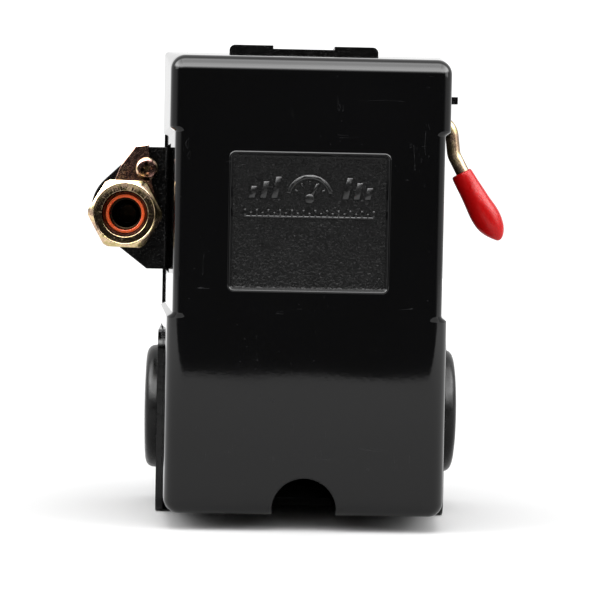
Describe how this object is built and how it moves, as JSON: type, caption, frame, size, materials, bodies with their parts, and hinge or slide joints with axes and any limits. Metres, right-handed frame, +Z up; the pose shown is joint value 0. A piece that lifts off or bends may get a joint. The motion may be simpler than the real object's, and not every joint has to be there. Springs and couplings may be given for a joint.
{
  "type": "air compressor pressure switch",
  "caption": "Compressor pressure switch: black moulded cover on a steel base with cable-hole plugs, side unloader valve, red-tipped off/auto lever and threaded pressure port.",
  "frame": {"origin": "centre of the pressure port mouth", "axes": "+Y out of the pressure port, away from the cover; +Z up from the two ears it stands on; +X towards the lever"},
  "size_m": [0.0912, 0.082, 0.1035],
  "materials": {
    "front_cover": "gloss black moulding, pebbled plaque",
    "base_frame": "black enamel on steel",
    "conduit_plug_left": "satin black",
    "conduit_plug_right": "satin black",
    "diaphragm": "black rubber",
    "pressure_flange": "die cast",
    "port_fitting": "zinc plated",
    "flange_screws": "bright zinc",
    "diaphragm_pusher": "turned",
    "rocker_bracket": "zinc plated sheet",
    "bracket_rivets": "zinc plated",
    "pivot_pin": "ground",
    "pivot_clips": "spring steel",
    "rocker_arm": "zinc plated sheet",
    "range_stud": "zinc plated thread",
    "range_spring": "spring steel",
    "range_seat": "zinc plated",
    "range_nut": "zinc plated",
    "differential_stud": "zinc plated thread",
    "differential_spring": "spring steel",
    "differential_seat": "zinc plated",
    "differential_nut": "zinc plated",
    "contact_block": "dark brown phenolic",
    "block_screws": "bright zinc",
    "terminal_strips": "stamped brass",
    "terminal_screws": "yellow zinc",
    "fixed_contacts": "silver alloy",
    "moving_contacts": "silver alloy",
    "contact_bridges": "stamped brass",
    "contact_springs": "spring steel",
    "contact_carrier": "dark brown phenolic",
    "ground_screw": "green",
    "unloader_bracket": "black enamel on steel",
    "bracket_screws": "bright zinc",
    "unloader_body": "turned brass",
    "unloader_nut": "yellow zinc",
    "tube_sleeve": "orange",
    "valve_retainer": "yellow zinc",
    "retainer_screw": "yellow zinc",
    "unloader_pin": "ground",
    "unloader_spring": "spring steel",
    "unloader_seal": "black rubber",
    "lever_wire": "yellow zinc wire",
    "lever_grip": "red dipped vinyl",
    "lever_clip": "spring steel"
  },
  "bodies": {
    "base": {"base_frame": "base_frame", "conduit_plug_left": "conduit_plug_left", "conduit_plug_right": "conduit_plug_right", "diaphragm": "diaphragm", "pressure_flange": "pressure_flange", "port_fitting": "port_fitting", "flange_screws": "flange_screws", "rocker_bracket": "rocker_bracket", "bracket_rivets": "bracket_rivets", "pivot_pin": "pivot_pin", "pivot_clips": "pivot_clips", "range_stud": "range_stud", "differential_stud": "differential_stud", "contact_block": "contact_block", "block_screws": "block_screws", "terminal_strips": "terminal_strips", "terminal_screws": "terminal_screws", "fixed_contacts": "fixed_contacts", "ground_screw": "ground_screw", "unloader_bracket": "unloader_bracket", "bracket_screws": "bracket_screws", "unloader_body": "unloader_body", "unloader_nut": "unloader_nut", "tube_sleeve": "tube_sleeve", "valve_retainer": "valve_retainer", "retainer_screw": "retainer_screw", "unloader_spring": "unloader_spring"},
    "cover": {"front_cover": "front_cover"},
    "lever": {"lever_wire": "lever_wire", "lever_grip": "lever_grip", "lever_clip": "lever_clip"},
    "rocker": {"rocker_arm": "rocker_arm"},
    "pusher": {"diaphragm_pusher": "diaphragm_pusher"},
    "carrier": {"contact_carrier": "contact_carrier", "contact_bridges": "contact_bridges", "moving_contacts": "moving_contacts", "contact_springs": "contact_springs"},
    "valve_pin": {"unloader_pin": "unloader_pin", "unloader_seal": "unloader_seal"},
    "range_adjuster": {"range_seat": "range_seat", "range_spring": "range_spring"},
    "range_nut": {"range_nut": "range_nut"},
    "differential_adjuster": {"differential_seat": "differential_seat", "differential_spring": "differential_spring"},
    "differential_nut": {"differential_nut": "differential_nut"}
  },
  "joints": [
    {"name": "cover_slide", "type": "slide", "parent": "base", "child": "cover", "axis": [0, -1, 0], "range_m": [0, 0.065]},
    {"name": "lever_swing", "type": "hinge", "parent": "base", "child": "lever", "pos_m": [0.02, -0.042, 0.0218], "axis": [-1, 0, 0], "range_deg": [0, 60]},
    {"name": "rocker_tilt", "type": "hinge", "parent": "base", "child": "rocker", "pos_m": [0, -0.029, 0.023], "axis": [-1, 0, 0], "range_deg": [0, 3], "stiffness_Nm_per_rad": 1.2, "springref_deg": -1.15},
    {"name": "pusher_slide", "type": "slide", "parent": "base", "child": "pusher", "axis": [0, -1, 0], "range_m": [0, 0.00122]},
    {"name": "carrier_slide", "type": "slide", "parent": "base", "child": "carrier", "axis": [0, -1, 0], "range_m": [0, 0.00337]},
    {"name": "valve_pin_slide", "type": "slide", "parent": "base", "child": "valve_pin", "axis": [0, -1, 0], "range_m": [0, 0.00123], "deforming": ["unloader_spring"]},
    {"name": "range_seat_slide", "type": "slide", "parent": "base", "child": "range_adjuster", "axis": [0, 1, 0], "range_m": [0, 0.004], "deforming": ["range_spring"]},
    {"name": "range_nut_turn", "type": "hinge", "parent": "range_adjuster", "child": "range_nut", "pos_m": [0, -0.0606, -0.0252], "axis": [0, 1, 0], "range_deg": [0, 1440.5]},
    {"name": "differential_seat_slide", "type": "slide", "parent": "base", "child": "differential_adjuster", "axis": [0, 1, 0], "range_m": [0, 0.0021], "deforming": ["differential_spring"]},
    {"name": "differential_nut_turn", "type": "hinge", "parent": "differential_adjuster", "child": "differential_nut", "pos_m": [0.0162, -0.053, -0.015], "axis": [0, 1, 0], "range_deg": [0, 1080.5]}
  ],
  "couplings": [
    {"joint": "pusher_slide", "follows": "rocker_tilt", "m_per_rad": 0.023},
    {"joint": "carrier_slide", "follows": "rocker_tilt", "m_per_rad": 0.064},
    {"joint": "valve_pin_slide", "follows": "rocker_tilt", "m_per_rad": 0.0231},
    {"joint": "range_nut_turn", "follows": "range_seat_slide", "rad_per_m": 6283.2},
    {"joint": "differential_nut_turn", "follows": "differential_seat_slide", "rad_per_m": 8976}
  ]
}
